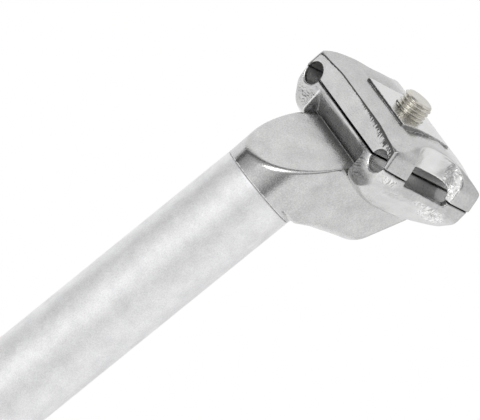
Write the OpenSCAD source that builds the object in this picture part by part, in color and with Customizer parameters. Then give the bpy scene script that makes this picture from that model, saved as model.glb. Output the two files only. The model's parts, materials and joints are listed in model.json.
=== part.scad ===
// Setback seatpost with a tilting saddle clamp held by one bolt from below.
// The origin is the centre of the tube's lower end. +Z runs up the tube, +X points
// to the front of the bicycle and +Y to its left.
// The clamp has a frame of its own: its middle lies on the bolt's axis where the two
// clamp halves meet, x runs forward along the rails and z up the bolt.

/* [Post tube] */
// Outside diameter of the tube
tube_d = 27.2; // [26.8:0.2:28.6]
// Wall thickness of the tube
tube_wall = 2.3; // [1.6:0.1:3.2]
// Length of the tube, from its lower end to the head
tube_len = 312; // [200:1:360]
// Chamfer inside the tube's lower end
bore_chamfer = 0.6; // [0.2:0.1:1]
// Depth of the small groove where the tube and the head meet
seam_depth = 0.3; // [0.1:0.05:0.5]

/* [Head] */
// Distance from the tube's axis back to the middle of the clamp
setback = 18.8; // [16:0.2:22]
// Height of the middle of the clamp above the tube's upper end
clamp_rise = 38; // [36:0.2:43]
// Angle between the clamp and a square cut across the tube
clamp_tilt = 14.2; // [11:0.2:17]
// Width of the head across the cradle
head_w = 29; // [28.4:0.2:31]
// Height above the tube at which the sloping front face starts
facet_start = 5.8; // [4:0.1:9]
// Height of the short upright neck behind the tube's axis
neck_h = 1.5; // [1:0.1:3]
// Distance behind the tube's axis at which the arm's underside leaves the neck
belly_start = 8; // [6:0.2:12]
// How far below the middle of the clamp the neck reaches the head's full width
flare_stop = 10.5; // [9:0.5:14]
// Depth of the head's spigot in the tube
spigot_len = 25; // [15:1:40]
// Length of the cradle, from its front rim to its rear rim
cradle_len = 32.6; // [31:0.2:34]
// Radius of the cradle that the clamp tilts in
cradle_r = 30.2; // [29.6:0.1:32]
// Chamfer on the upper corners at both ends of the cradle
shoulder = 2.9; // [1.5:0.1:4]
// Thickness of the cradle's floor
floor_t = 5.6; // [5:0.1:7]
// Width of the open pocket under the cradle's floor
pocket_w = 19; // [18:0.2:21]
// How far below the middle of the clamp the heel reaches
heel_drop = 29.8; // [28:0.2:31]
// How far behind the bolt the heel lies
heel_back = 5.6; // [4:0.2:8]
// Radius of the heel, seen from the side
heel_r = 14; // [12:1:20]
// Rounding along the lower edges of the head
belly_r = 4; // [3:0.5:7]

/* [Clamp halves] */
// Length of both clamp halves along the rails
clamp_len = 39; // [37:0.5:43]
// Width of both clamp halves
clamp_w = 55; // [54:0.5:58]
// Distance between the two saddle rails
rail_spacing = 43; // [42.6:0.2:44]
// Diameter of a saddle rail
rail_d = 7; // [6.6:0.1:7.4]
// Gap between the closed halves
clamp_gap = 0.5; // [0.3:0.1:0.8]
// Chamfer at the ends of the rail grooves
groove_chamfer = 0.6; // [0.3:0.1:1]
// Rounding of the halves' corners, seen from above
corner_r = 1; // [0.5:0.1:3]
// Height of the tilt axis above the middle of the clamp
tilt_axis_h = 18.4; // [18:0.2:19.4]
// How far the lower half's cheeks reach down past the cradle
cheek_drop = 4; // [2:0.5:4.5]
// Thickness of the lower half's lip between the cheeks, at its ends
lip_t = 1.3; // [1:0.1:2]
// Depth of the hollow under that lip
undercut_d = 5; // [4:0.2:6]
// Height of the hollow's sloping wall
undercut_h = 6.2; // [5:0.2:7]
// How far below the joint face the lower half's outer walls start to slope in
flank_drop = 5.4; // [4:0.1:6]
// Rounding where those walls start to slope in
flank_r = 4; // [2:0.5:9]
// Length of the windows in the lower half's sides, where the rails lie open
window_len = 19.5; // [16:0.5:22]
// How far below the joint face the windows' sills lie
sill_drop = 3.2; // [2.5:0.1:3.4]
// How far the upper half's outer walls lean in on their way up
lobe_draft = 1.2; // [0.6:0.1:2]
// Rounding of the outer edges where the halves meet
joint_r = 0.4; // [0.2:0.1:1.2]
// Height of the upper half at its ends
end_h = 7.4; // [6.5:0.1:8]
// Height of the arched top of the upper half
crown_h = 10.5; // [9.5:0.1:11]
// Rounding of the upper half's outer lobes, seen from the front
lobe_r = 5.3; // [2:0.1:6]
// How far the top narrows above the lobes on each side
lobe_slope = 8; // [7:0.1:10]
// Radius of the round waists in the upper half's sides
waist_r = 11.2; // [10:0.1:12]
// Distance from a rail's axis out to the waist's wall, where the halves meet
waist_out = 0.2; // [-0.4:0.1:1]
// Lean of the waist's wall, in degrees
waist_lean = 17; // [10:1:26]
// Height of the bolt's seat on the upper half's top
pad_h = 11.1; // [10.9:0.1:12]
// Length of the bolt's seat
pad_len = 18; // [17:0.5:22]
// Width of the bolt's seat
pad_w = 23.3; // [20:0.1:26]

/* [Bolt and washers] */
// Diameter of the bolt's thread
bolt_d = 10; // [9.6:0.1:10.4]
// How far the bolt's tip stands above its seat
bolt_out = 4.6; // [3:0.1:7]
// Chamfer round the bolt's tip
tip_chamfer = 0.9; // [0.5:0.1:1.5]
// Diameter of the bolt's head
bolt_head_d = 16; // [15:0.2:17]
// Height of the bolt's head
bolt_head_h = 8; // [7:0.5:9]
// Size of the socket in the bolt's head, across its flats
bolt_socket = 8; // [6:1:8]
// Thickness of the rocker washer on the bolt's axis
rocker_t = 3.2; // [2.8:0.1:4]
// Side of the square rocker washer
rocker_side = 18; // [16:0.2:18.2]
// Thickness of the flat washer
washer_t = 1.6; // [1:0.1:2.2]
// Diameter of the flat washer
washer_d = 17; // [16:0.5:17.5]

/* [Fits] */
// Radial clearance of a rail in its groove
rail_fit = 0.05; // [0:0.05:0.2]
// Gap between the sliding faces of the cradle and what tilts in it
cradle_fit = 0.15; // [0.1:0.05:0.25]
// Gap between each cheek of the lower half and the head's side
cheek_fit = 0.2; // [0.1:0.05:0.4]
// Radial clearance of the bolt in the holes it passes through
bolt_clear = 0.4; // [0.3:0.1:0.6]
// Radial clearance of the bolt's thread in the upper half
thread_fit = 0.05; // [0.02:0.01:0.08]
// Travel of the clamp to each side, in degrees
tilt_travel = 10; // [6:0.5:11]

/* [Hidden] */
$fn = 72;
tube_r = tube_d / 2;
bore_r = tube_r - tube_wall;
clamp_z = tube_len + clamp_rise;
head_half = head_w / 2;
bolt_r = bolt_d / 2;
groove_r = rail_d / 2 + rail_fit;
rail_y = rail_spacing / 2;
half_gap = clamp_gap / 2;
cheek_in = head_half + cheek_fit;
cheek_r = cradle_r + cheek_drop;
floor_r = cradle_r + floor_t;
past = 1;
fine_chamfer = 0.4;
soft_r = 6;
pocket_reach = clamp_rise + tube_r;
flare_h = clamp_rise - flare_stop;
arch_rise = crown_h - end_h;
arch_r = (clamp_len * clamp_len / 4 + arch_rise * arch_rise) / (2 * arch_rise);

// Stack under the cradle's floor, measured down the bolt from the clamp's middle
rocker_top = floor_r + cradle_fit - tilt_axis_h;
washer_top = rocker_top + rocker_t;
bolt_seat = washer_top + washer_t;
bolt_end = bolt_seat + bolt_head_h;

// How far the tilting bolt and its head swing to each side
slot_half = floor_r * sin(tilt_travel) + bolt_r + bolt_clear;
swing_half = (tilt_axis_h + bolt_end) * sin(tilt_travel) + bolt_head_d / 2 + past;
swing_r = norm([tilt_axis_h + bolt_end, bolt_head_d / 2]) + past;

// Height of a circle round the tilt axis, at a distance x from the bolt's axis
function arc_z(r, x) = tilt_axis_h - sqrt(r * r - x * x);

// A point of the clamp's frame, [forward, up], in the part's own side view
function in_side_view(p) = [
    -setback + p[0] * cos(clamp_tilt) + p[1] * sin(clamp_tilt),
    clamp_z - p[0] * sin(clamp_tilt) + p[1] * cos(clamp_tilt)];

// Points of the arc that rounds corner b, between a and c, with radius r
function unit(v) = v / norm(v);
function corner(a, b, c, r, steps = 6) =
    let (u = unit(a - b), v = unit(c - b), half = acos(u * v) / 2)
    let (mid = b + unit(u + v) * r / sin(half))
    let (first = b + u * r / tan(half) - mid, last = b + v * r / tan(half) - mid)
    let (from = atan2(first[1], first[0]), to = atan2(last[1], last[0]))
    let (turn = to - from > 180 ? to - from - 360 : to - from < -180 ? to - from + 360 : to - from)
    [for (i = [0:steps]) mid + r * [cos(from + turn * i / steps), sin(from + turn * i / steps)]];

// An outline from corners [x, y, rounding]
function xy(p) = [p[0], p[1]];
function rounded(path) = let (n = len(path)) [for (i = [0:n - 1])
    each path[i][2] == 0 ? [xy(path[i])]
        : corner(xy(path[(i + n - 1) % n]), xy(path[i]), xy(path[(i + 1) % n]), path[i][2])];

// A right half outline, [y, z, rounding], completed by its mirror image
function both_sides(path) = let (n = len(path))
    concat(path, [for (i = [0:n - 1]) [-path[n - 1 - i][0], path[n - 1 - i][1], path[n - 1 - i][2]]]);

module at_clamp() {
    translate([-setback, 0, clamp_z]) rotate([0, clamp_tilt, 0]) children();
}

// Extrudes a side view, drawn as [x, z], across the part
module across(width) {
    rotate([90, 0, 0]) linear_extrude(height = width, center = true) children();
}

// Extrudes a front view, drawn as [y, z], along the part
module along(length) {
    rotate([90, 0, 90]) linear_extrude(height = length, center = true) children();
}

// A cylinder round the tilt axis, in the clamp's frame
module tilt_drum(r, width) {
    translate([0, 0, tilt_axis_h]) rotate([90, 0, 0])
        cylinder(h = width, r = r, center = true, $fn = 180);
}

// The rail grooves, with their axes between the two halves
module rail_grooves() {
    for (side = [-1, 1]) translate([0, side * rail_y, 0]) rotate([0, 90, 0]) {
        cylinder(h = clamp_len + 2 * past, r = groove_r, center = true);
        for (end = [0, 1]) mirror([0, 0, end]) translate([0, 0, clamp_len / 2 - groove_chamfer])
            cylinder(h = groove_chamfer + past, r1 = groove_r, r2 = groove_r + groove_chamfer + past);
    }
}

// The outline of both halves from above, standing from z_low to z_high
module clamp_plan(z_low, z_high) {
    x = clamp_len / 2;
    y = clamp_w / 2;
    translate([0, 0, z_low]) linear_extrude(height = z_high - z_low)
        polygon(rounded([[x, -y, corner_r], [x, y, corner_r], [-x, y, corner_r], [-x, -y, corner_r]]));
}

module post_tube() {
    color([0.84, 0.84, 0.85]) rotate_extrude() polygon([
        [bore_r + bore_chamfer, 0], [tube_r, 0], [tube_r, tube_len - seam_depth],
        [tube_r - seam_depth, tube_len], [bore_r, tube_len], [bore_r, bore_chamfer]]);
}

// The neck grows from the tube's circle to the head's full width
module neck() {
    translate([0, 0, tube_len]) cylinder(h = seam_depth, r1 = tube_r - seam_depth, r2 = tube_r);
    translate([0, 0, tube_len + seam_depth])
        cylinder(h = flare_h - seam_depth, r1 = tube_r, r2 = head_half);
}

// Everything behind the sloping front face, which runs from the neck up to the cradle's rim
module behind_front_face() {
    foot = [tube_r, tube_len + facet_start];
    rim = in_side_view([cradle_len / 2, arc_z(cradle_r, cradle_len / 2)]);
    slope = unit(rim - foot);
    top = rim + slope * past;
    across(head_w + 2 * past) polygon([[-clamp_z, tube_len - past], [tube_d, tube_len - past],
        foot - slope * tube_r, top, [-clamp_z, top[1]]]);
}

// The arm carries the cradle behind the tube and ends in the rounded heel
module arm() {
    rim_z = arc_z(cradle_r, cradle_len / 2);
    belly = [-belly_start, tube_len + neck_h];
    heel = in_side_view([-heel_back, -heel_drop]);
    back = in_side_view([-cradle_len / 2, -heel_drop / 2]);
    rim = in_side_view([-cradle_len / 2, rim_z]);
    front = in_side_view([cradle_len / 2, rim_z]);
    belly_angle = atan2(heel[1] - belly[1], belly[0] - heel[0]);
    intersection() {
        across(head_w + 2 * past) polygon(rounded([[0, belly[1], 0], [belly[0], belly[1], soft_r],
            [heel[0], heel[1], heel_r], [back[0], back[1], soft_r], [rim[0], rim[1], 0],
            [front[0], front[1], 0], [0, front[1], 0]]));
        translate([-tube_len / 2, 0, 0]) along(tube_len) polygon([[tube_r, tube_len],
            [head_half, tube_len + flare_h], [head_half, clamp_z], [-head_half, clamp_z],
            [-head_half, tube_len + flare_h], [-tube_r, tube_len]]);
        translate([belly[0], 0, belly[1]]) rotate([0, belly_angle, 0]) along(4 * clamp_len)
            polygon(rounded(both_sides([[head_half, 0, belly_r], [head_half, clamp_len, 0]])));
    }
}

// The sloping cuts along the upper corners of the cradle's sides
module shoulder_cuts() {
    rim_z = arc_z(cradle_r, cradle_len / 2);
    inner = head_half - shoulder;
    for (end = [0, 1]) mirror([0, end, 0]) along(2 * clamp_len) polygon([[inner, rim_z + past],
        [inner, rim_z], [head_half + past, rim_z - shoulder - past], [head_half + past, rim_z + past]]);
}

// The bolt slot through the cradle's floor
module bolt_slot() {
    for (end = [-1, 1]) translate([end * (slot_half - bolt_r - bolt_clear), 0, -pocket_reach])
        cylinder(h = pocket_reach, r = bolt_r + bolt_clear);
    translate([0, 0, -pocket_reach / 2]) cube([2 * (slot_half - bolt_r - bolt_clear),
        2 * (bolt_r + bolt_clear), pocket_reach], center = true);
}

// The pocket that the rocker washer and the bolt's head swing in
module bolt_pocket() {
    difference() {
        intersection() {
            translate([-swing_half, -pocket_w / 2, -pocket_reach])
                cube([2 * swing_half, pocket_w, pocket_reach]);
            union() {
                tilt_drum(swing_r, pocket_w);
                translate([-swing_half, -pocket_w / 2, -pocket_reach])
                    cube([swing_half + bolt_head_d / 2 + past, pocket_w, pocket_reach]);
            }
        }
        tilt_drum(floor_r, pocket_w + past);
    }
}

module head() {
    color([0.76, 0.76, 0.77]) difference() {
        union() {
            translate([0, 0, tube_len - spigot_len]) cylinder(h = spigot_len, r = bore_r);
            intersection() {
                union() {
                    neck();
                    arm();
                }
                behind_front_face();
            }
        }
        at_clamp() {
            tilt_drum(cradle_r, head_w + 4 * past);
            shoulder_cuts();
            bolt_slot();
            bolt_pocket();
        }
    }
}

// Everything outside the round side profile of the lower half, between its cheeks
module cradle_recess() {
    difference() {
        translate([-clamp_len, -cheek_in, -clamp_len])
            cube([2 * clamp_len, 2 * cheek_in, clamp_len - half_gap - lip_t]);
        tilt_drum(cradle_r - cradle_fit, clamp_w);
    }
}

// The undercut that leaves a thin lip at each end of the lower half
module end_undercut() {
    x = clamp_len / 2;
    z = -half_gap - lip_t;
    for (end = [0, 1]) mirror([end, 0, 0]) across(2 * cheek_in) polygon([[x + past, z], [x, z],
        [x - undercut_d, z - undercut_h], [x - undercut_d, -clamp_len], [x + past, -clamp_len]]);
}

// The windows in the lower half's sides, from the middle of each groove outward
module windows() {
    for (side = [0, 1]) mirror([0, side, 0]) translate([-window_len / 2, rail_y, -sill_drop])
        cube([window_len, clamp_w, clamp_w]);
}

// The round waists in the upper half's sides
module waists() {
    for (side = [0, 1]) mirror([0, side, 0])
        translate([0, rail_y + waist_out + waist_r / cos(waist_lean), 0]) rotate([waist_lean, 0, 0])
            cylinder(h = 4 * clamp_w, r = waist_r, center = true, $fn = 120);
}

module lower_clamp() {
    low = arc_z(cheek_r, 0) - past;
    edge = clamp_w / 2;
    foot = edge - lobe_draft / 2;
    color([0.74, 0.74, 0.75]) at_clamp() difference() {
        intersection() {
            clamp_plan(low, -half_gap);
            along(clamp_len + past) polygon(rounded(both_sides([[foot + flank_drop + low, low, 0],
                [foot, -flank_drop, flank_r], [edge, -half_gap, joint_r]])));
            tilt_drum(cheek_r, clamp_w + past);
        }
        cradle_recess();
        end_undercut();
        rail_grooves();
        windows();
        translate([0, 0, low]) cylinder(h = -low, r = bolt_r + bolt_clear);
    }
}

module upper_clamp() {
    edge = clamp_w / 2;
    color([0.74, 0.74, 0.75]) at_clamp() difference() {
        union() {
            intersection() {
                clamp_plan(half_gap, crown_h + past);
                along(clamp_len + past) polygon(rounded(both_sides([[edge, half_gap, joint_r],
                    [edge - lobe_draft, end_h, lobe_r], [edge - lobe_slope, crown_h + fine_chamfer, 0]])));
                translate([0, 0, crown_h - arch_r]) rotate([90, 0, 0])
                    cylinder(h = clamp_w + past, r = arch_r, center = true, $fn = 240);
            }
            translate([-pad_len / 2, -pad_w / 2, half_gap]) cube([pad_len, pad_w, pad_h - half_gap]);
        }
        rail_grooves();
        waists();
        translate([0, 0, -past]) cylinder(h = pad_h + 2 * past, r = bolt_r + thread_fit);
    }
}

module clamp_bolt() {
    color([0.55, 0.54, 0.52]) at_clamp() difference() {
        rotate_extrude() polygon([[0, -bolt_end], [bolt_head_d / 2 - fine_chamfer, -bolt_end],
            [bolt_head_d / 2, fine_chamfer - bolt_end], [bolt_head_d / 2, -bolt_seat],
            [bolt_r, -bolt_seat], [bolt_r, pad_h + bolt_out - tip_chamfer],
            [bolt_r - tip_chamfer, pad_h + bolt_out], [0, pad_h + bolt_out]]);
        translate([0, 0, -bolt_end - past])
            cylinder(h = bolt_head_h / 2 + past, d = bolt_socket / cos(30), $fn = 6);
    }
}

// The rocker washer turns the floor's round underside into a flat seat
module rocker_washer() {
    color([0.6, 0.6, 0.6]) at_clamp() difference() {
        translate([-rocker_side / 2, -rocker_side / 2, -washer_top])
            cube([rocker_side, rocker_side, rocker_t + bolt_d]);
        tilt_drum(floor_r + cradle_fit, rocker_side + past);
        translate([0, 0, -washer_top - past]) cylinder(h = rocker_t + bolt_d, r = bolt_r + bolt_clear);
    }
}

module bolt_washer() {
    color([0.62, 0.62, 0.61]) at_clamp() translate([0, 0, -bolt_seat]) difference() {
        cylinder(h = washer_t, d = washer_d);
        translate([0, 0, -past]) cylinder(h = washer_t + 2 * past, r = bolt_r + bolt_clear);
    }
}

post_tube();
head();
lower_clamp();
upper_clamp();
clamp_bolt();
rocker_washer();
bolt_washer();
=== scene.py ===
"""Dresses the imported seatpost: forged head and clamp halves, threaded bolt, satin tube, studio and camera."""

import json
import math

import bpy
import numpy as np
from mathutils import Matrix, Vector


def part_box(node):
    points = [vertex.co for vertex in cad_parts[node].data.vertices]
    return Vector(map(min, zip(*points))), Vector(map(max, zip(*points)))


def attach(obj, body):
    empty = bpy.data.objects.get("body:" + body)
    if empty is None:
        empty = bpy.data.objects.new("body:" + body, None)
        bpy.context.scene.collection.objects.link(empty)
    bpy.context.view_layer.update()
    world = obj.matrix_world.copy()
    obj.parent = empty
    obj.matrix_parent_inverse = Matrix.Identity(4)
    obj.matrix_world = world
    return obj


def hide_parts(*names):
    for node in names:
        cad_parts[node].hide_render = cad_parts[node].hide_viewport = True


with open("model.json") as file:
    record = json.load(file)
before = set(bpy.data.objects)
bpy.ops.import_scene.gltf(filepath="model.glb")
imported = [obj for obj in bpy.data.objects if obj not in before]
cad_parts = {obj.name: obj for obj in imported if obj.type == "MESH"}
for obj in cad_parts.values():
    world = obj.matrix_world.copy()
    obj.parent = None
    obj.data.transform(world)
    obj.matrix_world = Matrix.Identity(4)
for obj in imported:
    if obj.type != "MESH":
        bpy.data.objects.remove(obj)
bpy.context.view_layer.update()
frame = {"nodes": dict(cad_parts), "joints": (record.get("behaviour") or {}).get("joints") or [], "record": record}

# Sizes that the frame gives, in mm
MM = 0.001
mounts = {m["name"]: m for m in frame["record"]["mounts"]}
joints = {j["name"]: j for j in frame["joints"]}
rail = mounts["rail_left"]
TUBE_R = mounts["post_shaft"]["dims"]["r_mm"]
GROOVE_R = rail["dims"]["r_mm"]
RAIL_Y = rail["pos_m"][1] / MM
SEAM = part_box("post_tube")[1].z / MM
HEAD_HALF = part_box("head")[1].y / MM
clamp_low, clamp_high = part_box("lower_clamp")
EDGE = (clamp_high.y - clamp_low.y) / MM / 2
RAIL_INSET = 0.6  # how far the clamp's ends stand past the length that holds a rail
CLAMP_END = rail["dims"]["length_mm"] / 2 + RAIL_INSET

# The clamp's own frame: x to the front, z up the bolt, from the middle of the joint between its halves
MIDDLE = Vector(joints["bolt_turn"]["pos_m"]) / MM
UP_BOLT = -Vector(joints["bolt_turn"]["axis"]).normalized()
TILT = math.atan2(UP_BOLT.x, UP_BOLT.z)
COS, SIN = math.cos(TILT), math.sin(TILT)
AXIS_H = (Vector(joints["clamp_tilt"]["pos_m"]) / MM - MIDDLE).dot(UP_BOLT)
RAIL_Z = (Vector(rail["pos_m"]) / MM - MIDDLE).dot(UP_BOLT)

# Sizes of the head, in mm. R is a radius, T a thickness, H a height above the seam
WALL = 2.3  # of the tube, and of the head's spigot in it
SPIGOT = 25.0  # how deep it reaches into the tube
NECK_H = 1.5
FACET_START = 5.8  # where the flat facet leaves the neck
FLARE_H = MIDDLE.z - SEAM - 10.5  # where the head has its full width
HEEL_R = 9.5
REAR_R = 6.0
CRADLE_R = 30.2
CRADLE_FIT = 0.15  # clearance of what rolls in the cradle
CRADLE_LEN = 32.6
FLOOR_T = 5.6
FLOOR_R = CRADLE_R + FLOOR_T
SHOULDER = 2.9  # how far in the chamfer beside the cradle's rim starts
SWING = math.sin(math.radians(10))  # the clamp tilts 10 degrees each way

# Sizes of the clamp halves, in mm. Heights are measured from the joint between them
HALF_GAP = 0.25  # half the gap between the halves
CHEEK_IN = HEAD_HALF + 0.2  # the cheeks hold the head between them
CHEEK_R = CRADLE_R + 4
FOOT = EDGE - 0.6  # half the lower half's width below its lobes
LIP = 1.3  # thickness left over the undercuts
UNDERCUT_D = 5.0
UNDERCUT_H = 6.2
WINDOW_HALF = 9.75  # half the length of the window under each rail
SILL_DROP = 3.2
SILL_LIP = 1.5  # how much higher the sill stands outside
DENT_X, DENT_Y, DENT_Z = 9.6, 27.4, -7.0  # the middle of the lens-shaped dent
DENT_LEAN = 0.12
DENT_LEN, DENT_TALL, DENT_DEEP = 6.2, 1.9, 2.3  # half its sizes
BEND_Z = -5.4  # where the lower half's sides turn in
BEND_R = 4.0
END_H = 7.4
CROWN_H = 10.5
LOBE_R = 5.3  # rounding of the lobes over the rails
ARCH_R = (CLAMP_END ** 2 + (CROWN_H - END_H) ** 2) / (2 * (CROWN_H - END_H))
PAD_H = 11.1
PAD_TOP = PAD_H - 0.55
PAD_END = 10.8  # half the pad's length
PAD_SIDE = 11.65  # half the pad's width at its ends
WAIST_R = 11.2
WAIST_OUT = 0.9  # how far outside the rail's middle the scoop starts
WAIST_LEAN = math.radians(17)
WAIST_POWER = 2.7  # 2 would be a circle

# Sizes of the bolt, in mm
BOLT_R = 5.0
BOLT_OUT = 4.6  # how far the tip stands out of the pad
PITCH = 1.25
THREAD_DEPTH = 0.62
TIP_CHAMFER = 0.9
ROCKER_T, WASHER_T = 3.2, 1.6
KNOB_R, KNOB_H = 8.0, 8.0
KNOB_CLEAR = 0.04  # clearance between the bolt's head and its washer
SOCKET_HALF, SOCKET_DEPTH = 4.0, 4.0  # half the width across the socket's flats, and its depth
BOLT_SEAT = FLOOR_R + CRADLE_FIT - AXIS_H + ROCKER_T + WASHER_T
BOLT_END = BOLT_SEAT + KNOB_H
BOLT_TIP = PAD_H + BOLT_OUT

# How far an outline runs on past a face that another cut gives, and the grids that the forms are drawn on
PAST = 6.0
GRID, FINE_GRID = 0.4, 0.24


# Solid modelling with distance fields, which are negative inside
def rmax(a, b, r):
    """Intersection with a rounded edge."""
    return np.minimum(-r, np.maximum(a, b)) + np.hypot(np.maximum(r + a, 0), np.maximum(r + b, 0))


def rmin(a, b, r):
    """Union with a filleted corner."""
    return -rmax(-a, -b, r)


def rise(x, start, width):
    """0 at start and 1 a width further on, straight between them. A width below 0 runs the other way."""
    return np.clip((x - start) / width, 0, 1)


def ease(t):
    """A value from 0 to 1, made smooth at both ends."""
    return t * t * (3 - 2 * t)


def box_fade(x, low, high, soft):
    """1 between low and high, fading to 0 over soft at each end."""
    return rise(x, low, soft) * rise(x, high, -soft)


def corner(a, b, c, r, steps=6):
    """The points of an arc of radius r that rounds the corner b between a and c."""
    a, b, c = (np.array(p, float) for p in (a, b, c))
    u = (a - b) / np.linalg.norm(a - b)
    v = (c - b) / np.linalg.norm(c - b)
    half = math.acos(float(np.clip(u @ v, -1, 1))) / 2
    w = (u + v) / np.linalg.norm(u + v)
    centre = b + w * r / math.sin(half)
    first = b + u * r / math.tan(half) - centre
    last = b + v * r / math.tan(half) - centre
    start = math.atan2(first[1], first[0])
    turn = (math.atan2(last[1], last[0]) - start + math.pi) % (2 * math.pi) - math.pi
    angles = [start + turn * i / steps for i in range(steps + 1)]
    return [tuple(centre + r * np.array([math.cos(t), math.sin(t)])) for t in angles]


def outline(path):
    """An outline from corners (x, y, rounding)."""
    points = []
    for i, p in enumerate(path):
        if p[2]:
            points += corner(path[i - 1][:2], p[:2], path[(i + 1) % len(path)][:2], p[2])
        else:
            points.append(p[:2])
    return points


def both_sides(path):
    """The path and its mirror image in the first coordinate."""
    return path + [(-p[0], p[1], p[2]) for p in reversed(path)]


def polygon(px, py, points):
    """Exact signed distance to a closed outline."""
    best, sign = math.inf, 1.0
    for i, (ax, ay) in enumerate(points):
        bx, by = points[i - 1]
        ex, ey = bx - ax, by - ay
        wx, wy = px - ax, py - ay
        t = np.clip((wx * ex + wy * ey) / (ex * ex + ey * ey), 0, 1)
        best = np.minimum(best, (wx - ex * t) ** 2 + (wy - ey * t) ** 2)
        above, below, left = py >= ay, py < by, ex * wy > ey * wx
        crossed = (above & below & left) | (~above & ~below & ~left)
        sign = np.where(crossed, -sign, sign)
    return sign * np.sqrt(best)


LATTICE = 32
VALUES = np.random.default_rng(7).random((LATTICE, LATTICE, LATTICE)).astype(np.float32) * 2 - 1


def noise(x, y, z, size):
    """Smooth value noise between -1 and 1, with features about size mm across."""
    x, y, z = np.broadcast_arrays(x / size + 100.3, y / size + 100.7, z / size + 100.1)
    i, j, k = (np.floor(v).astype(int) for v in (x, y, z))
    u, v, w = ease(x - i), ease(y - j), ease(z - k)
    total = 0
    for a in (0, 1):
        for b in (0, 1):
            for c in (0, 1):
                weight = (u if a else 1 - u) * (v if b else 1 - v) * (w if c else 1 - w)
                total = total + weight * VALUES[(i + a) % LATTICE, (j + b) % LATTICE, (k + c) % LATTICE]
    return total


def hammered(x, y, z, depth, size):
    """How far a forged surface lies inside its true form, from 0 to twice the depth."""
    return depth + depth * noise(x, y, z, size)


# From a field to a mesh
def gradient(field, points, step):
    """The field's slope at each point."""
    slopes = np.empty_like(points)
    for i in range(3):
        shift = np.zeros(3)
        shift[i] = step
        slopes[:, i] = (field(*(points + shift).T) - field(*(points - shift).T)) / (2 * step)
    return slopes


def cell_points(f, step):
    """One point in each cell that the surface passes, and a grid of the points' numbers."""
    corners = [(a, b, c) for a in (0, 1) for b in (0, 1) for c in (0, 1)]
    inside = f < 0

    def at_corner(grid, a, b, c):
        return grid[a:grid.shape[0] - 1 + a, b:grid.shape[1] - 1 + b, c:grid.shape[2] - 1 + c]

    count = sum(at_corner(inside, *c).astype(np.int8) for c in corners)
    passed = (count > 0) & (count < 8)
    ids = np.full(passed.shape, -1, np.int64)
    ids[passed] = np.arange(passed.sum())
    values = np.stack([at_corner(f, *c)[passed] for c in corners], 1)
    offsets = np.array(corners, float)
    total, number = np.zeros((len(values), 3)), np.zeros(len(values))
    for i in range(8):
        for j in range(i + 1, 8):
            if np.abs(offsets[i] - offsets[j]).sum() == 1:
                cut = (values[:, i] < 0) != (values[:, j] < 0)
                t = values[cut, i] / (values[cut, i] - values[cut, j])
                total[cut] += offsets[i] + (offsets[j] - offsets[i]) * t[:, None]
                number[cut] += 1
    return step * (np.argwhere(passed) + total / number[:, None]), ids


def cell_quads(inside, ids):
    """A quad round each grid line that the surface cuts."""
    quads = []
    for axis in range(3):
        others = [b for b in range(3) if b != axis]
        near, far = [slice(None)] * 3, [slice(None)] * 3
        near[axis], far[axis] = slice(0, -1), slice(1, None)
        for b in others:
            near[b] = far[b] = slice(1, -1)
        first, second = inside[tuple(near)], inside[tuple(far)]
        for rising in (False, True):
            cells = np.argwhere((first != second) & (second == rising))
            if not len(cells):
                continue
            ring = []
            for step_b, step_c in ((0, 0), (1, 0), (1, 1), (0, 1)):
                cell = cells.copy()
                cell[:, others[0]] += step_b
                cell[:, others[1]] += step_c
                ring.append(ids[cell[:, 0], cell[:, 1], cell[:, 2]])
            quad = np.stack(ring, 1)
            quads.append(quad[:, ::-1] if rising != (axis == 1) else quad)
    return np.concatenate(quads)


def surface(field, low, high, step):
    """Points, normals and quads on the field's zero level."""
    ax = [np.arange(low[i], high[i] + step, step) for i in range(3)]
    f = field(ax[0][:, None, None], ax[1][None, :, None], ax[2][None, None, :])
    f = np.broadcast_to(f, [len(a) for a in ax])
    points, ids = cell_points(f, step)
    points = points + np.array(low)
    quads = cell_quads(f < 0, ids)
    for _ in range(4):
        slopes = gradient(field, points, 0.02)
        move = -field(*points.T) / np.maximum((slopes * slopes).sum(1), 0.2)
        points = points + slopes * np.clip(move, -step / 2, step / 2)[:, None]
    normals = gradient(field, points, 0.08)
    normals /= np.maximum(np.linalg.norm(normals, axis=1), 1e-9)[:, None]
    return points, normals, quads


def make(name, points, normals, faces, body, node, marks=None):
    """A smooth-shaded mesh that stands for a CAD node, with named marks on its points."""
    mesh = bpy.data.meshes.new(name)
    mesh.vertices.add(len(points))
    mesh.vertices.foreach_set("co", (np.asarray(points) * MM).ravel())
    mesh.loops.add(faces.size)
    mesh.loops.foreach_set("vertex_index", faces.ravel().astype(np.int32))
    mesh.polygons.add(len(faces))
    mesh.polygons.foreach_set("loop_start", np.arange(0, faces.size, faces.shape[1], dtype=np.int32))
    mesh.polygons.foreach_set("use_smooth", np.ones(len(faces), bool))
    mesh.update(calc_edges=True)
    for key, values in (marks or {}).items():
        mark = mesh.attributes.new(key, "FLOAT", "POINT")
        mark.data.foreach_set("value", np.asarray(values, np.float32))
    if normals is not None:
        mesh.normals_split_custom_set_from_vertices(np.asarray(normals).tolist())
    obj = bpy.data.objects.new(name, mesh)
    bpy.context.scene.collection.objects.link(obj)
    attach(obj, body)
    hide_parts(node)
    return obj


def from_clamp(points, normals):
    """Takes points and normals from the clamp's frame to the part's."""
    turn = np.array([[COS, 0, SIN], [0, 1, 0], [-SIN, 0, COS]])
    return points @ turn.T + np.array(MIDDLE), normals @ turn.T


def in_clamp(x, z):
    """A place's x and z in the clamp's frame."""
    return (x - MIDDLE.x) * COS - (z - MIDDLE.z) * SIN, (x - MIDDLE.x) * SIN + (z - MIDDLE.z) * COS


# The head. Its height h is measured from the seam, where the tube ends
def side_view(x, z):
    """A place in the clamp's frame as x and h."""
    return (MIDDLE.x + x * COS + z * SIN, MIDDLE.z - SEAM - x * SIN + z * COS)


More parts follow.
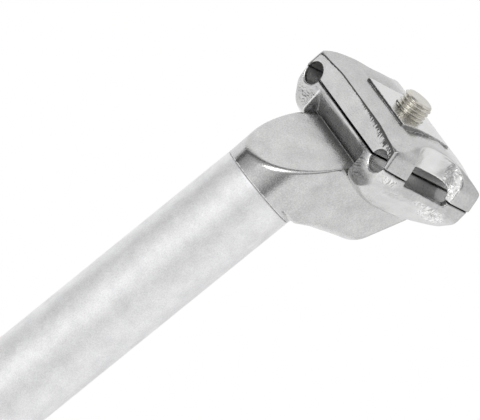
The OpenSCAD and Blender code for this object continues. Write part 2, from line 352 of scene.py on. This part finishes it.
def arc_z(r, x):
    """The height, in the clamp's frame, of an arc of radius r round the cradle's axis."""
    return AXIS_H - math.sqrt(r * r - x * x)


RIM_Z = arc_z(CRADLE_R, CRADLE_LEN / 2)
BELLY = (-8.0, NECK_H)
HEEL = side_view(-5.6, -29.8)
REAR = side_view(-CRADLE_LEN / 2, -14.9)
RIM_BACK = side_view(-CRADLE_LEN / 2, RIM_Z)
RIM_FRONT = side_view(CRADLE_LEN / 2, RIM_Z)
AHEAD = 30.0  # further forward than the head reaches
ARM = outline([(AHEAD, -PAST, 0), (0, -PAST, 0), (0, NECK_H, 0), (*BELLY, 0), (*HEEL, HEEL_R),
               (*REAR, REAR_R), (*RIM_BACK, 0), (RIM_FRONT[0] + 0.5, RIM_FRONT[1] + 3, 0),
               (AHEAD, RIM_FRONT[1] + 3, 0)])
SLOPE = np.array([RIM_FRONT[0] - TUBE_R, RIM_FRONT[1] - FACET_START])
SLOPE /= np.linalg.norm(SLOPE)
POCKET_HALF = (AXIS_H + BOLT_END) * SWING + KNOB_R + 1
POCKET_SIDE = 9.5  # half the pocket's width
SWEEP_R = math.hypot(AXIS_H + BOLT_END, KNOB_R) + 1


def facet(x, h):
    """Distance in front of the flat facet that leans from the neck up to the cradle's front rim."""
    return (x - TUBE_R) * SLOPE[1] - (h - FACET_START) * SLOPE[0]


def head_field(x, y, z):
    h = z - SEAM
    ay, reach = np.abs(y), np.hypot(x, y)
    half = TUBE_R + (HEAD_HALF - TUBE_R) * rise(h, 0, FLARE_H)
    plan = np.where(x > 0, reach, ay) - half
    body = rmax(polygon(x, h, ARM), plan, 0.8 + 2.4 * rise(x, -6, -8) - 1.2 * rise(x, -24, -8))
    neck = rmax(reach - half, h - NECK_H, 0.3)
    body = rmin(body, neck, 0.02 + 0.8 * rise(x, -2, -4))
    front = facet(x, h) + hammered(x, y, z, 0.05, 5.0)
    body = rmax(body, front, 1.1 - 0.5 * rise(h, 8, 16))
    body = rmax(body, -h, 0.3)
    # The round cradle, and under it the slot and the pocket that the bolt and its washers swing through
    cx, cz = in_clamp(x, z)
    drum = np.hypot(cx, cz - AXIS_H)
    shoulder = (ay - (HEAD_HALF - SHOULDER) + cz - RIM_Z) * math.sqrt(0.5)
    body = rmax(body, shoulder, 1.2)
    body = rmax(body, CRADLE_R - drum, 0.5)
    slot = np.hypot(np.maximum(np.abs(cx) - FLOOR_R * SWING, 0), y) - BOLT_R - 0.4
    pocket = np.maximum(np.maximum(np.abs(cx) - POCKET_HALF, ay - POCKET_SIDE), FLOOR_R - drum)
    pocket = np.maximum(pocket, np.minimum(drum - SWEEP_R, cx - KNOB_R - 1))
    body = rmax(body, -np.maximum(slot, cz), 0.4)
    body = rmax(body, -np.maximum(pocket, cz), 0.6)
    spigot = np.maximum(np.maximum(reach - TUBE_R + WALL, -h - SPIGOT), h - 1)
    return np.minimum(body, spigot)


def head_marks(x, y, z):
    """Where the head has painted shade, folds, polish or unpolished skin."""
    h = z - SEAM
    cx, cz = in_clamp(x, z)
    depth = np.hypot(cx, cz - AXIS_H) - CRADLE_R
    # Painted shade: a dark band on the facet along the cradle's front rim, under the clamp, and a faint darkening
    # in the cradle
    rim = rise(depth, 3.9, -2.6) * rise(depth, 0.35, 0.3) * rise(np.abs(facet(x, h)), 1.4, -0.5) * (cx > 8)
    cradle = rise(depth, 0.1, -0.4) * (np.abs(cx) < CRADLE_LEN / 2 + 1) * (cz < 0)
    folds = 0.3 * box_fade(cx, 12, 20, 2) * rise(y, -8, -3) * box_fade(depth, -1, 4, 1)
    polish = rise(h, 9, -4) * rise(x, 0, 3)
    soil = np.maximum(0.68 * rim, 0.1 * cradle)
    return {"soil": soil, "crackle": folds, "polish": polish, "skin": 0.5 * cradle}


# The clamp halves, seen from their flat ends
UPPER_FRONT = outline(both_sides([(EDGE, -PAST, 0), (EDGE, HALF_GAP, 0), (EDGE - 1.2, END_H, LOBE_R),
                                  (EDGE - 8, CROWN_H + 0.4, 0)]))
LOW = arc_z(CHEEK_R, 0) - 1
LOWER_FRONT = outline(both_sides([(FOOT - BEND_Z + LOW, LOW, 0), (FOOT, BEND_Z, BEND_R),
                                  (EDGE, -HALF_GAP, 0), (EDGE, PAST, 0)]))
# The undercut in each end of the lower half, seen from the side
UNDERCUT = [(CLAMP_END + 4, -HALF_GAP - LIP), (CLAMP_END, -HALF_GAP - LIP),
            (CLAMP_END - UNDERCUT_D, -HALF_GAP - LIP - UNDERCUT_H),
            (CLAMP_END - UNDERCUT_D, -40), (CLAMP_END + 4, -40)]


def drawn_in(x):
    """How far the clamp's sides draw in towards its front end."""
    return 1.2 * rise(x, 9, 10.5) ** 2


def rail_depth(ay, z):
    """Distance from the round groove that takes a rail."""
    return np.hypot(ay - RAIL_Y, z - RAIL_Z) - GROOVE_R


def joint_edge(ay):
    """Rounding along the joint, which opens to a small notch at the lobes' outer ends."""
    return 0.15 + 0.6 * rise(ay, EDGE - 1.8, 1.2)


def joint_gap(ay):
    """Half the gap between the halves. Outside the rails they nearly meet."""
    return HALF_GAP - 0.23 * rise(ay, RAIL_Y + 1.5, 1.2)


def upper_edge(y):
    """Rounding between the upper half's end faces and its outline."""
    return 0.4 + 0.8 * ease(rise(np.abs(y), RAIL_Y, 3.5))


def pad_top(x):
    """The pad's top, which falls a little towards its two ends."""
    return PAD_TOP - 0.3 * rise(np.abs(x), 4, PAD_END - 4) ** 2


def pad_side(x):
    """The pad's half width, which draws in between its ends."""
    return PAD_SIDE - 1.3 * (1 - np.minimum((x / PAD_END) ** 2, 1))


def crown(x, y, z):
    """The upper half's arched top, which droops at its four corners and dips beside the pad's front."""
    ay = np.abs(y)
    arch = np.hypot(x, z - CROWN_H + ARCH_R) - ARCH_R
    droop = 0.95 * ease(rise(ay, 11, 12)) * rise(np.abs(x), 11, 8)
    dip = 1.5 * rise(x, -6, 12) * rise(x, PAD_END, -2.5) * (1 - rise(ay, PAD_SIDE - 0.6, 7)) ** 2
    return arch + droop + dip * (ay > PAD_SIDE - 1.6)


def waist(x, ay, z):
    """The leaning scoop in each side of the upper half, a little squarer than a circle."""
    across = (ay - RAIL_Y - WAIST_OUT) * math.cos(WAIST_LEAN) - WAIST_R + z * math.sin(WAIST_LEAN)
    return (np.abs(x) ** WAIST_POWER + np.abs(across) ** WAIST_POWER) ** (1 / WAIST_POWER) - WAIST_R


def upper_field(x, y, z):
    ay = np.abs(y)
    side = rmax(polygon(ay + drawn_in(x), z, UPPER_FRONT), crown(x, y, z), 0.4)
    body = rmax(np.abs(x) - CLAMP_END, side, upper_edge(y)) + hammered(x, y, z, 0.06, 6.0)
    pad = rmax(rmax(np.abs(x) - PAD_END, ay - pad_side(x), 0.5), z - pad_top(x), 0.15)
    body = rmin(body, pad, 0.06)
    body = rmax(body, -waist(x, ay, z) - 0.12 * noise(x, y, z, 2.2), 0.6)
    body = rmax(body, -rail_depth(ay, z), 0.4)
    body = rmax(body, joint_gap(ay) - z, joint_edge(ay))
    return rmax(body, BOLT_R + 0.05 - np.hypot(x, y), 0.25)


def upper_marks(x, y, z):
    """Where the upper half has painted shade, a painted ragged dark line, painted highlights or folds: line is a
    distance to the rim of its flat end.
    """
    ax, ay = np.abs(x), np.abs(y)
    end = rise(ax, CLAMP_END - 1.6, 0.3)
    groove = rise(rail_depth(ay, z), 0.4, -0.4) * (1 - end)
    rim = np.maximum(polygon(ay + drawn_in(x), z, UPPER_FRONT), crown(x, y, z)) + 0.85 * upper_edge(y)
    # line and ragged place a painted dark ragged line where the flat end starts to round over
    line = np.where((end > 0) & (z > 0.4), rim, 9.0)
    ragged = np.where(y > 0, rise(y, -4, 20), 0.1) * end
    # Painted shade in the joint between the halves, away from the rail holes
    joint = rise(z, 0.4, -0.15) * (np.abs(ay - RAIL_Y) > 2.6)
    # A painted shadow at the foot of the pad's ends
    slit = np.maximum(np.abs(ax - PAD_END + 0.03) - 0.2, ay - PAD_SIDE + 0.2)
    slit = np.maximum(slit, z - pad_top(x) + 0.06)
    wall = rise(np.abs(ay - pad_side(x)), 0.3, -0.1) * (ax < PAD_END - 0.2)
    wall = wall * (z > 8.8) * (z < pad_top(x) - 0.08)
    scoop = rise(waist(x, ay, z), 0.5, -0.4)
    folds = scoop * rise(x, -5, -2)
    pad = rise(z, pad_top(x) - 0.25, 0.15) * (ay < PAD_SIDE) * (ax < PAD_END)
    # Painted shade in the rail grooves, stronger towards -y, and on the pad's side walls
    dark = np.maximum((0.3 - 0.3 * np.clip(y / 20, -1, 1)) * groove, 0.5 * wall)
    # Painted highlights in the scoops and on the folds, and a lighter pad top
    bright = np.maximum(np.maximum(0.85 * scoop, 0.6 * pad), 0.9 * folds)
    return {"soil": np.maximum(dark, 0.9 * joint), "line": line, "ragged": ragged, "slit": slit,
            "bright": bright, "crackle": 0.22 * folds, "skin": 0.5 * groove}


def dent_place(ax, z):
    """Along and across the lens-shaped dent in the lower half's side, from its middle."""
    along = ax - DENT_X
    return along, z - DENT_Z + along * DENT_LEAN


def lower_field(x, y, z):
    ax, ay = np.abs(x), np.abs(y)
    drum = np.hypot(x, z - AXIS_H)
    body = rmax(ax - CLAMP_END, polygon(ay + drawn_in(x), z, LOWER_FRONT), 2.0)
    body = rmax(body, drum - CHEEK_R, 1.2) + hammered(x, y, z, 0.07, 4.0)
    along, across = dent_place(ax, z)
    dent = np.sqrt((along / DENT_LEN) ** 2 + (across / DENT_TALL) ** 2 + ((ay - DENT_Y) / DENT_DEEP) ** 2) - 1
    # 1.8 turns the lens's unit into about a millimetre
    body = rmax(body, -1.8 * dent - 0.22 * noise(x, y, z, 1.3), 0.35)
    recess = np.maximum(np.maximum(ay - CHEEK_IN, z + HALF_GAP + LIP), CRADLE_R - CRADLE_FIT - drum)
    body = rmax(body, -recess, 0.5)
    undercut = rmax(polygon(ax, z, UNDERCUT), ay - CHEEK_IN, 1.0)
    body = rmax(body, -undercut + 0.1 * noise(x, y, z, 2.5), 0.45)
    sill = SILL_DROP - SILL_LIP * rise(ay, RAIL_Y + 2.7, 0.6)
    window = rmax(rmax(ax - WINDOW_HALF, -z - sill, 1.2), RAIL_Y - ay, 0.4)
    body = rmax(body, -window - 0.1 * noise(x, y, z, 2.0), 0.6)
    body = rmax(body, -rail_depth(ay, z), 0.4)
    body = rmax(body, z + joint_gap(ay), joint_edge(ay))
    return rmax(body, BOLT_R + 0.4 - np.hypot(x, y), 0.25)


def lower_marks(x, y, z):
    """Where the lower half has painted shade, folds, painted highlights or unpolished skin."""
    ax, ay = np.abs(x), np.abs(y)
    end = rise(ax, CLAMP_END - 1.6, 0.3)
    depth = rail_depth(ay, z)
    groove = rise(depth, 0.4, -0.4) * (1 - end)
    seat = np.where(ax < WINDOW_HALF + 2, 0.5 * (ay < RAIL_Y - 0.5), 0.3 - 0.3 * np.clip(y / 20, -1, 1))
    seat = seat + 0.6 * rise(z, -0.7, 0.3) * (ay < RAIL_Y)
    recess = rise(polygon(ax, z, UNDERCUT), 0.5, -0.3) * rise(ay, CHEEK_IN + 0.4, -0.4)
    shade = box_fade(depth, 0.5, 9, 2.5) * end * rise(ay, RAIL_Y + 3.5, -2)
    along, across = dent_place(ax, z)
    lens = rise(np.sqrt((along / 7.2) ** 2 + (across / 2.6) ** 2), 1, -0.3) * (x < 0)
    sill = box_fade(z, -5.6, -3.4, 0.8) * box_fade(x, -13, 2, 2) * (ay > 22)
    cheek = box_fade(x, 11, 19, 2) * box_fade(z, -4.2, -0.8, 1) * (ay > 23)
    rim = box_fade(depth, -0.3, 0.75, 0.25) * (ax > CLAMP_END - 0.8) * rise(np.sign(y) * RAIL_Y - y, 0.6, 1.5)
    joint = rise(z, -0.4, 0.15) * (np.abs(ay - RAIL_Y) > 2.6)
    edge = np.clip(1.6 - np.abs(ay - CHEEK_IN - 0.15) / 0.35, 0, 1)
    edge = edge * (ax > CLAMP_END - 2.5) * (z < -HALF_GAP - LIP)
    crackle = np.maximum(np.maximum(lens, 0.8 * sill), np.maximum(0.8 * cheek, 0.25 * shade))
    # Painted shade in the undercuts, round the ends of the rail holes, in the grooves and in the joint between the
    # halves
    soil = np.maximum(0.4 * recess, (0.38 + 0.26 * np.clip(y / 10, -1, 1)) * shade)
    soil = np.maximum(soil, np.maximum(seat * groove, 0.9 * joint))
    # Painted highlights in the lens-shaped dent, on the sill and cheek, on the undercuts' edges and on the rail
    # holes' rims
    bright = np.maximum(np.maximum(0.95 * lens, np.maximum(edge, rim)), 0.75 * np.maximum(sill, cheek))
    skin = np.maximum(0.3 * recess, 0.5 * groove)
    return {"soil": soil, "crackle": crackle, "bright": bright, "skin": skin}


# The bolt: a threaded shank, a round head and the hexagonal socket in its end
def bolt_field(x, y, z):
    r = np.hypot(x, y)
    turn = (z / PITCH - np.arctan2(y, x) / (2 * math.pi)) % 1.0
    groove = THREAD_DEPTH * np.clip(1.12 - 1.25 * np.abs(turn * 2 - 1), 0, 1) * rise(z, -6, 2)
    shank = rmax(r - BOLT_R + groove, z - BOLT_TIP, 0.15)
    shank = rmax(shank, (r + z - BOLT_R - BOLT_TIP + TIP_CHAMFER) * math.sqrt(0.5), 0.15)
    shank = np.maximum(shank, -z - BOLT_SEAT - 1)
    knob = rmax(rmax(r - KNOB_R, z + BOLT_SEAT + KNOB_CLEAR, 0.3), -z - BOLT_END, 0.7)
    flats = [np.abs(y * math.cos(t) + x * math.sin(t)) for t in (0, math.pi / 3, -math.pi / 3)]
    socket = np.maximum(np.maximum.reduce(flats) - SOCKET_HALF, z + BOLT_END - SOCKET_DEPTH)
    return rmax(np.minimum(shank, knob), -socket, 0.25)


def form(name, field, low, high, step, body, node, marks=None, place=from_clamp):
    """A piece on a field's zero level. place takes its points and normals to the part's frame."""
    points, normals, faces = surface(field, low, high, step)
    marked = marks(*points.T) if marks else None
    if place:
        points, normals = place(points, normals)
    return make(name, points, normals, faces, body, node, marked)


def build_forms():
    low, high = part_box("head")
    out = CLAMP_END + 1
    side = EDGE + 1
    knob = KNOB_R + 1
    return {
        "head": form("head_forging", head_field, (low.x / MM - 1, low.y / MM - 1, SEAM - SPIGOT - 1),
                     (high.x / MM + 1, high.y / MM + 1, high.z / MM + 1), GRID, "post", "head",
                     head_marks, place=None),
        "upper": form("upper_clamp_forging", upper_field, (-out, -side, -0.5), (out, side, PAD_H + 1), GRID,
                      "upper_clamp", "upper_clamp", upper_marks),
        "lower": form("lower_clamp_forging", lower_field, (-out, -side, LOW - 0.4), (out, side, 0.5), GRID,
                      "lower_clamp", "lower_clamp", lower_marks),
        "bolt": form("threaded_bolt", bolt_field, (-knob, -knob, -BOLT_END - 0.6),
                     (knob, knob, BOLT_TIP + 0.6), FINE_GRID, "bolt", "clamp_bolt"),
    }


# The tube, turned round the part's Z axis from (radius, height) rings
def tube_rings():
    bore = TUBE_R - WALL
    rings = [(bore, 0.6), (bore + 0.6, 0), (TUBE_R - 0.1, 0), (TUBE_R - 0.03, 0.03), (TUBE_R, 0.1)]
    rings += [(TUBE_R, z) for z in np.linspace(2, SEAM - 1.2, 60)]
    rings += [(TUBE_R, SEAM - 0.4), (TUBE_R - 0.03, SEAM - 0.25), (TUBE_R - 0.12, SEAM - 0.12)]
    rings += [(TUBE_R - 0.3, SEAM - 0.02), (TUBE_R - 0.6, SEAM), (bore, SEAM)]
    return np.array(rings + [(bore, z) for z in np.linspace(SEAM - 2, 1, 30)])


def build_tube(around=192):
    rings = tube_rings()
    t = np.arange(around) * 2 * math.pi / around
    radius, height = rings[:, :1], np.repeat(rings[:, 1:], around, 1)
    points = np.stack([radius * np.cos(t), radius * np.sin(t), height], 2).reshape(-1, 3)
    i, j = np.meshgrid(np.arange(len(rings)), np.arange(around), indexing="ij")
    above, beside = (i + 1) % len(rings), (j + 1) % around
    quads = [i * around + j, i * around + beside, above * around + beside, above * around + j]
    faces = np.stack(quads, 2).reshape(-1, 4)
    return make("post_shaft", points, None, faces, "post", "post_tube")


forms = build_forms()
forms["tube"] = build_tube()


# Materials
class Flow:
    """Writes chains of shader nodes as expressions."""

    def __init__(self, tree):
        self.tree = tree

    def fill(self, socket, value):
        if isinstance(value, (int, float)):
            socket.default_value = value
        else:
            self.tree.links.new(value, socket)

    def add(self, kind, **values):
        """A node with its sockets and settings by name."""
        node = self.tree.nodes.new(kind)
        for key, value in values.items():
            if key in node.inputs:
                node.inputs[key].default_value = value
            else:
                setattr(node, key, value)
        return node

    def do(self, operation, *args):
        node = self.add("ShaderNodeMath", operation=operation)
        for socket, arg in zip(node.inputs, args):
            self.fill(socket, arg)
        return node.outputs[0]

    def smooth(self, value, low, high, to_low=0.0, to_high=1.0):
        node = self.add("ShaderNodeMapRange", interpolation_type="SMOOTHSTEP")
        keys = ("Value", "From Min", "From Max", "To Min", "To Max")
        for key, arg in zip(keys, (value, low, high, to_low, to_high)):
            self.fill(node.inputs[key], arg)
        return node.outputs[0]

    def mark(self, name):
        """A mark that the piece carries on its points."""
        return self.add("ShaderNodeAttribute", attribute_name=name).outputs["Fac"]

    def along(self, vector, axis):
        node = self.add("ShaderNodeVectorMath", operation="DOT_PRODUCT")
        self.tree.links.new(vector, node.inputs[0])
        node.inputs[1].default_value = axis
        return node.outputs["Value"]

    def ramp(self, value, stops):
        """Grey levels or colours at places from 0 to 1."""
        node = self.add("ShaderNodeValToRGB")
        elements = node.color_ramp.elements
        while len(elements) < len(stops):
            elements.new(0.5)
        for element, (place, level) in zip(elements, stops):
            element.position = place
            element.color = (*level, 1) if isinstance(level, tuple) else (level, level, level, 1)
        self.tree.links.new(value, node.inputs["Fac"])
        return node.outputs["Color"]

    def noise(self, where, size, detail, **more):
        node = self.add("ShaderNodeTexNoise", Scale=size, Detail=detail, Roughness=0.6, **more)
        self.tree.links.new(where, node.inputs["Vector"])
        return node.outputs["Fac"]

    def tint(self, colour, factor, towards):
        """The colour mixed towards another by a factor."""
        node = self.add("ShaderNodeMix", data_type="RGBA")
        factor_in = node.inputs["Factor"]
        colour_in, towards_in = [s for s in node.inputs if s.type == "RGBA"]
        self.tree.links.new(factor, factor_in)
        self.tree.links.new(colour, colour_in)
        towards_in.default_value = (*towards, 1)
        return next(s for s in node.outputs if s.type == "RGBA")

    def bump(self, height, below=None, **values):
        node = self.add("ShaderNodeBump", **values)
        self.tree.links.new(height, node.inputs["Height"])
        if below:
            self.tree.links.new(below, node.inputs["Normal"])
        return node

    def seen(self):
        """1 for rays from the camera, mirrors and glass, 0 for the light that falls on things."""
        path = self.add("ShaderNodeLightPath").outputs
        indirect = self.do("MAXIMUM", path["Is Glossy Ray"], path["Is Transmission Ray"])
        return self.do("MAXIMUM", path["Is Camera Ray"], indirect)


def material(name, colour, rough, metallic=1.0):
    mat = bpy.data.materials.new(name)
    mat.use_nodes = True
    shader = mat.node_tree.nodes["Principled BSDF"]
    shader.inputs["Metallic"].default_value = metallic
    shader.inputs["Base Color"].default_value = (*colour, 1)
    shader.inputs["Roughness"].default_value = rough
    return mat, Flow(mat.node_tree), shader


# The colours that painted highlights and painted shade mix towards
PAINTED_HIGHLIGHT_COLOUR = (0.9, 0.9, 0.895)
PAINTED_SHADE_COLOUR = (0.075, 0.075, 0.073)


def ragged_edge_shade(flow, coord, soil):
    """The painted shade, with a painted dark ragged line along the rim of the upper half's flat end, where it
    starts to round over, and a painted shadow at the foot of the pad's ends.
    """
    upright = flow.add("ShaderNodeMapping", Scale=(1, 1, 0.12))
    flow.tree.links.new(coord, upright.inputs["Vector"])
    teeth = flow.noise(upright.outputs["Vector"], 2300, 2.0)
    line = flow.mark("line")
    tooth = flow.do("MULTIPLY", flow.mark("ragged"), flow.smooth(teeth, 0.38, 0.68, 0.5, 2.5))
    # A painted dark ragged line just inside the rim of the flat end
    reach = flow.smooth(flow.do("ADD", line, flow.do("ADD", 0.1, tooth)), -0.1, 0.1)
    edge_line_shade = flow.do("MULTIPLY", reach, flow.smooth(line, 0.02, 0.2, 1, 0))
    # The painted shadow at the foot of the pad's ends, with a ragged border
    ragged_pad_shadow = flow.do("ADD", flow.mark("slit"), flow.do("MULTIPLY", flow.do("SUBTRACT", teeth, 0.5), 0.5))
    slit = flow.smooth(ragged_pad_shadow, -0.12, 0.06, 0.9, 0)
    return flow.do("MAXIMUM", soil, flow.do("MAXIMUM", flow.do("MULTIPLY", edge_line_shade, 0.92), slit))


def forge(flow, coord, shader, fine, colour, rough, normal, ragged_shaded):
    """Adds painted shade in the recesses and along the folds in the flanks, painted highlights, the folds' bump
    and a less metallic skin, all read from marks.
    """
    soil = flow.do("MULTIPLY", flow.mark("soil"), flow.smooth(fine, 0.3, 0.7, 0.7, 1.25))
    if ragged_shaded:
        soil = ragged_edge_shade(flow, coord, soil)
    fold = flow.noise(coord, 300, 2.0, Distortion=1.1)
    ridge = flow.do("ABSOLUTE", flow.do("SUBTRACT", fold, 0.5))
    crackle = flow.mark("crackle")
    # Painted shade along the fold lines where crackle marks lie
    crease = flow.do("MULTIPLY", flow.smooth(ridge, 0.004, 0.018, 0.35, 0), flow.smooth(crackle, 0.1, 0.6))
    soil = flow.do("MINIMUM", flow.do("MAXIMUM", soil, crease), 1)
    # Painted highlights lighten the colour, then painted shade darkens it
    colour = flow.tint(flow.tint(colour, flow.mark("bright"), PAINTED_HIGHLIGHT_COLOUR), soil, PAINTED_SHADE_COLOUR)
    flow.fill(shader.inputs["Metallic"], flow.do("SUBTRACT", 1, flow.mark("skin")))
    wear = flow.do("ADD", flow.do("MULTIPLY", soil, 0.2), flow.do("MULTIPLY", flow.mark("polish"), -0.08))
    bump = flow.bump(ridge, normal, Distance=0.003)
    flow.tree.links.new(crackle, bump.inputs["Strength"])
    return colour, flow.do("ADD", rough, wear), bump.outputs["Normal"]


def metal(name, dark, light, rough_low, rough_high, grain, grain_bump, wave_bump, metallic=1.0,
          forged=False, ragged_shaded=False):
    """A metal with fine grain and broad waves in its colour, roughness and bump."""
    mat, flow, shader = material(name, light, rough_low, metallic)
    coord = flow.add("ShaderNodeTexCoord").outputs["Object"]
    fine = flow.noise(coord, grain, 3.0)
    broad = flow.noise(coord, grain / 14, 4.0)
    tone = flow.do("ADD", flow.do("MULTIPLY", broad, 0.4), flow.do("MULTIPLY", fine, 0.6))
    colour = flow.ramp(tone, [(0.36, dark), (0.64, light)])
    rough = flow.smooth(fine, 0.3, 0.7, rough_low, rough_high)
    waves = flow.bump(broad, Strength=wave_bump, Distance=0.0004)
    normal = flow.bump(fine, waves.outputs["Normal"], Strength=grain_bump, Distance=0.00006).outputs["Normal"]
    if forged:
        colour, rough, normal = forge(flow, coord, shader, fine, colour, rough, normal, ragged_shaded)
    for key, value in (("Base Color", colour), ("Roughness", rough), ("Normal", normal)):
        flow.tree.links.new(value, shader.inputs[key])
    return mat


def paint(obj, mat):
    obj.data.materials.clear()
    obj.data.materials.append(mat)


# The roughness varies between two values, grain is the noise's scale, and the bumps are strengths
FORGED = dict(rough_low=0.15, rough_high=0.25, grain=2300, grain_bump=0.6, wave_bump=0.12, forged=True)
SATIN = dict(rough_low=0.4, rough_high=0.54, grain=2700, grain_bump=0.9, wave_bump=0.0, metallic=0.75)
STEEL = dict(rough_low=0.16, rough_high=0.26, grain=2500, grain_bump=0.2, wave_bump=0.05)
TURNED = dict(rough_low=0.3, rough_high=0.4, grain=3000, grain_bump=0.2, wave_bump=0.02)
CLAMP_TONES = ((0.47, 0.47, 0.47), (0.66, 0.66, 0.655))
HEAD_TONES = ((0.505, 0.505, 0.505), (0.71, 0.71, 0.705))
STEEL_TONES = ((0.56, 0.54, 0.49), (0.74, 0.72, 0.66))
SATIN_TONES = ((0.72, 0.72, 0.73), (0.94, 0.94, 0.945))
WASHER_TONES = ((0.55, 0.55, 0.55), (0.66, 0.66, 0.66))
paint(forms["lower"], metal("forged_satin", *CLAMP_TONES, **FORGED))
paint(forms["head"], metal("forged_satin_head", *HEAD_TONES, **FORGED))
paint(forms["upper"], metal("forged_satin_upper", *CLAMP_TONES, **FORGED, ragged_shaded=True))
paint(forms["tube"], metal("blasted_satin", *SATIN_TONES, **SATIN))
paint(forms["bolt"], metal("plated_steel", *STEEL_TONES, **STEEL))
turned = metal("turned_metal", *WASHER_TONES, **TURNED)
paint(frame["nodes"]["rocker_washer"], turned)
paint(frame["nodes"]["bolt_washer"], turned)

# The camera looks along BACK's opposite, rolled so that the tube runs up to the right as in the photograph
FRAME_W, FRAME_H = 480, 420
PX_PER_MM = 3.384
SEAM_U, SEAM_V = 258.35, 187.15
DIST = 6000
SENSOR_W = 36
BACK = Vector((0.745, 0.664, 0.065)).normalized()
RIGHT = Vector((-0.457, 0.4355, 0.774))
RIGHT = (RIGHT - BACK * RIGHT.dot(BACK)).normalized()
UP = BACK.cross(RIGHT)

scene = bpy.context.scene
aim = Vector((0, 0, SEAM)) + (RIGHT * (FRAME_W / 2 - SEAM_U) + UP * (SEAM_V - FRAME_H / 2)) / PX_PER_MM
cam_data = bpy.data.cameras.new("camera")
cam_data.sensor_width = SENSOR_W
cam_data.lens = SENSOR_W * DIST * PX_PER_MM / FRAME_W
cam_data.clip_start, cam_data.clip_end = 0.1, 100
cam = bpy.data.objects.new("camera", cam_data)
facing = Matrix((RIGHT, UP, BACK)).transposed().to_4x4()
cam.matrix_world = Matrix.Translation((aim + BACK * DIST) * MM) @ facing
scene.collection.objects.link(cam)
scene.camera = cam
scene.view_settings.view_transform = "Standard"

# The studio is white with a dim bay in front of the post, which has a darker wing at each side.
# Each pair is an azimuth in degrees and the brightness there, and the bay turns by DRIFT with height.
BAY = [(-180, 0.8), (-168, 0.84), (-150, 1), (-100, 1), (-78, 0.9), (-71, 0.86), (-66, 0.5), (-61, 0.12),
       (-51, 0.14), (-41, 0.42), (-24, 0.56), (-12, 0.74), (-2, 0.92), (8, 0.96), (17, 0.88), (38, 0.66),
       (50, 0.42), (60, 0.26), (69, 0.46), (78, 1), (130, 1), (160, 0.85), (180, 0.8)]
DRIFT = 24
PATCH_HEIGHT = math.radians(34)
PLAIN_GREY = (0.9, 0.9, 0.9, 1)
WHITE = (1, 1, 1, 1)


def studio_level(flow):
    """The backdrop's brightness by direction."""
    seen_at = flow.add("ShaderNodeTexCoord").outputs["Generated"]
    wx, wy, wz = (flow.along(seen_at, axis) for axis in ((1, 0, 0), (0, 1, 0), (0, 0, 1)))
    azimuth = flow.do("DEGREES", flow.do("ARCTAN2", wy, wx))
    height = flow.do("DEGREES", flow.do("ARCSINE", wz))
    drift = flow.do("MULTIPLY", flow.smooth(height, 0, 50), DRIFT)
    place = flow.do("ADD", flow.do("DIVIDE", flow.do("SUBTRACT", azimuth, drift), 360), 0.5)
    bay = flow.ramp(place, [(angle / 360 + 0.5, level) for angle, level in BAY])
    # The bay fades out towards the floor and overhead
    reach = flow.do("MULTIPLY", flow.smooth(height, -26, -12), flow.smooth(height, 62, 80, 1, 0))
    level = flow.do("SUBTRACT", 1, flow.do("MULTIPLY", reach, flow.do("SUBTRACT", 1, bay)))
    # A soft dark patch up on the +Y side, and a slightly dimmer sky behind
    patch = Vector((0, math.cos(PATCH_HEIGHT), math.sin(PATCH_HEIGHT)))
    shade = flow.do("EXPONENT", flow.do("MULTIPLY", flow.do("SUBTRACT", flow.along(seen_at, patch), 1), 14))
    behind = flow.do("MULTIPLY", flow.smooth(height, 8, 20), flow.smooth(wx, -0.1, -0.5))
    for amount, strength in ((shade, 0.65), (behind, 0.13)):
        level = flow.do("MULTIPLY", level, flow.do("SUBTRACT", 1, flow.do("MULTIPLY", amount, strength)))
    return level


def build_studio():
    world = bpy.data.worlds.new("studio")
    world.use_nodes = True
    world.node_tree.nodes.clear()
    flow = Flow(world.node_tree)
    backdrop = flow.add("ShaderNodeBackground", Color=WHITE)
    flow.fill(backdrop.inputs["Strength"], studio_level(flow))
    plain = flow.add("ShaderNodeBackground", Color=PLAIN_GREY)
    mix = flow.add("ShaderNodeMixShader")
    output = flow.add("ShaderNodeOutputWorld")
    for value, socket in ((flow.seen(), mix.inputs[0]), (plain.outputs[0], mix.inputs[1]),
                          (backdrop.outputs[0], mix.inputs[2]), (mix.outputs[0], output.inputs[0])):
        flow.tree.links.new(value, socket)
    scene.world = world


FLOOR_HALF = 0.8
FLOOR_DROP = 0.0005
FLOOR_GLOW = 0.3


def build_floor():
    mesh = bpy.data.meshes.new("floor")
    corners = [(sx * FLOOR_HALF, sy * FLOOR_HALF, 0) for sx, sy in ((-1, -1), (1, -1), (1, 1), (-1, 1))]
    mesh.from_pydata(corners, [], [(0, 1, 2, 3)])
    floor = bpy.data.objects.new("floor", mesh)
    floor.location.z = -FLOOR_DROP
    scene.collection.objects.link(floor)
    mat, flow, shader = material("pale_floor", (0.85, 0.85, 0.85), 0.7, 0)
    shader.inputs["Emission Color"].default_value = WHITE
    flow.fill(shader.inputs["Emission Strength"], flow.do("MULTIPLY", flow.seen(), FLOOR_GLOW))
    mesh.materials.append(mat)


def build_key(offset=(1.1, 0.2, 0.42), size=0.5, power=2.0):
    """A soft lamp in front of the post."""
    light = bpy.data.lights.new("key", "AREA")
    light.shape = "SQUARE"
    light.size = size
    light.energy = power
    lamp = bpy.data.objects.new("key", light)
    scene.collection.objects.link(lamp)
    lamp.location = Vector((0, 0, SEAM + 20)) * MM + Vector(offset)
    lamp.rotation_mode = "QUATERNION"
    lamp.rotation_quaternion = (-Vector(offset)).to_track_quat("-Z", "Y")


build_studio()
build_floor()
build_key()
